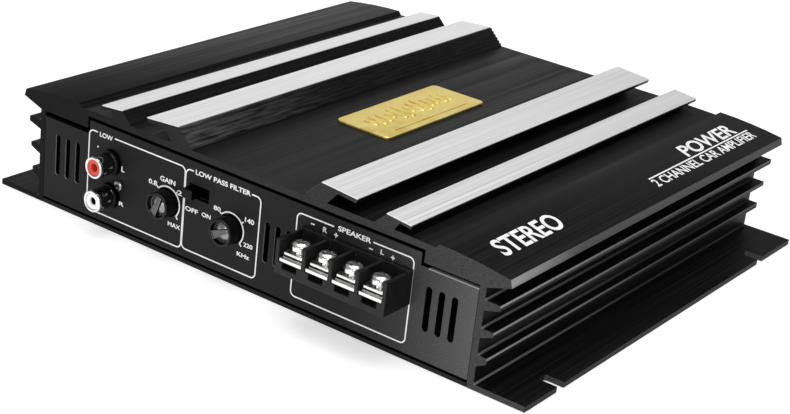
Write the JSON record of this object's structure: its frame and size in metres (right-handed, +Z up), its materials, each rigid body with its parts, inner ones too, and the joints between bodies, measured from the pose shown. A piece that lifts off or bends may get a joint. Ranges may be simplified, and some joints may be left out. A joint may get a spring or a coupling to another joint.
{
  "type": "car audio power amplifier",
  "caption": "Low car power amplifier: finned extruded cover with bright strips, input panel with jacks, knobs, switch and screw terminals, and a fused power end.",
  "frame": {"origin": "middle of the flat underside, on the surface the amplifier is fastened to", "axes": "+Z up; -Y out of the input panel; +X to the right of someone who looks at the input panel; +Y out of the power panel"},
  "size_m": [0.2454, 0.2339, 0.0516],
  "materials": {
    "black_anodised": "black anodised, brushed along its length",
    "brushed_aluminium": "bright brushed",
    "gold_plate": "bright gold with a mottled texture",
    "black_sheet": "fine-texture black powder coat",
    "black_screw": "black oxide",
    "bright_steel": "zinc plated",
    "nickel": "bright nickel",
    "board_green": "solder resist",
    "black_plastic": "matt moulded",
    "black_gloss_plastic": "moulded, slightly glossy",
    "knob_plastic": "glossy moulded",
    "red_plastic": "moulded red",
    "white_plastic": "moulded white",
    "red_lens": "clear red",
    "grey_pad": "silicone pad",
    "ferrite": "coated ferrite",
    "copper": "enamelled copper wire",
    "capacitor_sleeve": "printed sleeve, without print",
    "fuse_amber": "translucent amber"
  },
  "bodies": {
    "root": {"heatsink_cover": "black_anodised", "wide_trim_strips": "brushed_aluminium", "narrow_trim_strips": "brushed_aluminium", "badge_plate": "gold_plate", "base_cover": "black_sheet", "base_screws": "black_screw", "front_panel": "black_sheet", "rear_panel": "black_sheet", "board_standoffs": "bright_steel", "board_screws": "bright_steel", "circuit_board": "board_green", "jack_housing": "black_plastic", "jack_shells": "nickel", "jack_insulator_left": "red_plastic", "jack_insulator_right": "white_plastic", "jack_contacts": "nickel", "jack_screw": "nickel", "pot_bodies": "black_plastic", "filter_switch_body": "bright_steel", "speaker_terminal_block": "black_gloss_plastic", "speaker_contact_plates": "nickel", "power_terminal_block": "black_gloss_plastic", "power_contact_plates": "nickel", "fuse_holder": "black_gloss_plastic", "power_light": "red_lens", "insulating_pads": "grey_pad", "output_transistors": "black_plastic", "transistor_bars": "bright_steel", "bar_screws": "bright_steel", "toroid_core": "ferrite", "toroid_winding": "copper", "reservoir_capacitors": "capacitor_sleeve", "small_capacitors": "capacitor_sleeve", "output_chokes": "copper", "integrated_circuits": "black_plastic", "switching_transistors": "black_plastic", "transistor_bracket": "bright_steel"},
    "gain_control": {"gain_knob": "knob_plastic", "gain_pot_shaft": "bright_steel"},
    "lowpass_control": {"lowpass_knob": "knob_plastic", "lowpass_pot_shaft": "bright_steel"},
    "filter_slider": {"filter_switch_slider": "black_plastic"},
    "speaker_clamp_1_body": {"speaker_clamp_1": "nickel"},
    "speaker_screw_1_body": {"speaker_screw_1": "nickel"},
    "speaker_clamp_2_body": {"speaker_clamp_2": "nickel"},
    "speaker_screw_2_body": {"speaker_screw_2": "nickel"},
    "speaker_clamp_3_body": {"speaker_clamp_3": "nickel"},
    "speaker_screw_3_body": {"speaker_screw_3": "nickel"},
    "speaker_clamp_4_body": {"speaker_clamp_4": "nickel"},
    "speaker_screw_4_body": {"speaker_screw_4": "nickel"},
    "power_clamp_1_body": {"power_clamp_1": "nickel"},
    "power_screw_1_body": {"power_screw_1": "nickel"},
    "power_clamp_2_body": {"power_clamp_2": "nickel"},
    "power_screw_2_body": {"power_screw_2": "nickel"},
    "power_clamp_3_body": {"power_clamp_3": "nickel"},
    "power_screw_3_body": {"power_screw_3": "nickel"},
    "fuse_1": {"fuse_cap_1": "fuse_amber", "fuse_blades_1": "bright_steel"},
    "fuse_2": {"fuse_cap_2": "fuse_amber", "fuse_blades_2": "bright_steel"}
  },
  "joints": [
    {"name": "gain_turn", "type": "hinge", "parent": "root", "child": "gain_control", "pos_m": [-0.0361, -0.1015, 0.0209], "axis": [0, 1, 0], "range_deg": [-175, 125]},
    {"name": "lowpass_turn", "type": "hinge", "parent": "root", "child": "lowpass_control", "pos_m": [-0.0055, -0.1015, 0.0209], "axis": [0, 1, 0], "range_deg": [-212, 88]},
    {"name": "filter_slide", "type": "slide", "parent": "root", "child": "filter_slider", "axis": [1, 0, 0], "range_m": [0, 0.0046]},
    {"name": "speaker_clamp_1_lift", "type": "slide", "parent": "root", "child": "speaker_clamp_1_body", "axis": [0, 0, 1], "range_m": [0, 0.0024]},
    {"name": "speaker_screw_1_turn", "type": "hinge", "parent": "speaker_clamp_1_body", "child": "speaker_screw_1_body", "pos_m": [0.03355, -0.1108, 0.028], "axis": [0, 0, 1], "range_deg": [0, 1441]},
    {"name": "speaker_clamp_2_lift", "type": "slide", "parent": "root", "child": "speaker_clamp_2_body", "axis": [0, 0, 1], "range_m": [0, 0.0024]},
    {"name": "speaker_screw_2_turn", "type": "hinge", "parent": "speaker_clamp_2_body", "child": "speaker_screw_2_body", "pos_m": [0.04485, -0.1108, 0.028], "axis": [0, 0, 1], "range_deg": [0, 1441]},
    {"name": "speaker_clamp_3_lift", "type": "slide", "parent": "root", "child": "speaker_clamp_3_body", "axis": [0, 0, 1], "range_m": [0, 0.0024]},
    {"name": "speaker_screw_3_turn", "type": "hinge", "parent": "speaker_clamp_3_body", "child": "speaker_screw_3_body", "pos_m": [0.05615, -0.1108, 0.028], "axis": [0, 0, 1], "range_deg": [0, 1441]},
    {"name": "speaker_clamp_4_lift", "type": "slide", "parent": "root", "child": "speaker_clamp_4_body", "axis": [0, 0, 1], "range_m": [0, 0.0024]},
    {"name": "speaker_screw_4_turn", "type": "hinge", "parent": "speaker_clamp_4_body", "child": "speaker_screw_4_body", "pos_m": [0.06745, -0.1108, 0.028], "axis": [0, 0, 1], "range_deg": [0, 1441]},
    {"name": "power_clamp_1_lift", "type": "slide", "parent": "root", "child": "power_clamp_1_body", "axis": [0, 0, 1], "range_m": [0, 0.0024]},
    {"name": "power_screw_1_turn", "type": "hinge", "parent": "power_clamp_1_body", "child": "power_screw_1_body", "pos_m": [-0.03355, 0.1108, 0.028], "axis": [0, 0, 1], "range_deg": [0, 1441]},
    {"name": "power_clamp_2_lift", "type": "slide", "parent": "root", "child": "power_clamp_2_body", "axis": [0, 0, 1], "range_m": [0, 0.0024]},
    {"name": "power_screw_2_turn", "type": "hinge", "parent": "power_clamp_2_body", "child": "power_screw_2_body", "pos_m": [-0.04485, 0.1108, 0.028], "axis": [0, 0, 1], "range_deg": [0, 1441]},
    {"name": "power_clamp_3_lift", "type": "slide", "parent": "root", "child": "power_clamp_3_body", "axis": [0, 0, 1], "range_m": [0, 0.0024]},
    {"name": "power_screw_3_turn", "type": "hinge", "parent": "power_clamp_3_body", "child": "power_screw_3_body", "pos_m": [-0.05615, 0.1108, 0.028], "axis": [0, 0, 1], "range_deg": [0, 1441]},
    {"name": "fuse_1_pull", "type": "slide", "parent": "root", "child": "fuse_1", "axis": [0, 1, 0], "range_m": [0, 0.012]},
    {"name": "fuse_2_pull", "type": "slide", "parent": "root", "child": "fuse_2", "axis": [0, 1, 0], "range_m": [0, 0.012]}
  ],
  "couplings": [
    {"joint": "speaker_screw_1_turn", "follows": "speaker_clamp_1_lift", "rad_per_m": 10472},
    {"joint": "speaker_screw_2_turn", "follows": "speaker_clamp_2_lift", "rad_per_m": 10472},
    {"joint": "speaker_screw_3_turn", "follows": "speaker_clamp_3_lift", "rad_per_m": 10472},
    {"joint": "speaker_screw_4_turn", "follows": "speaker_clamp_4_lift", "rad_per_m": 10472},
    {"joint": "power_screw_1_turn", "follows": "power_clamp_1_lift", "rad_per_m": 10472},
    {"joint": "power_screw_2_turn", "follows": "power_clamp_2_lift", "rad_per_m": 10472},
    {"joint": "power_screw_3_turn", "follows": "power_clamp_3_lift", "rad_per_m": 10472}
  ]
}
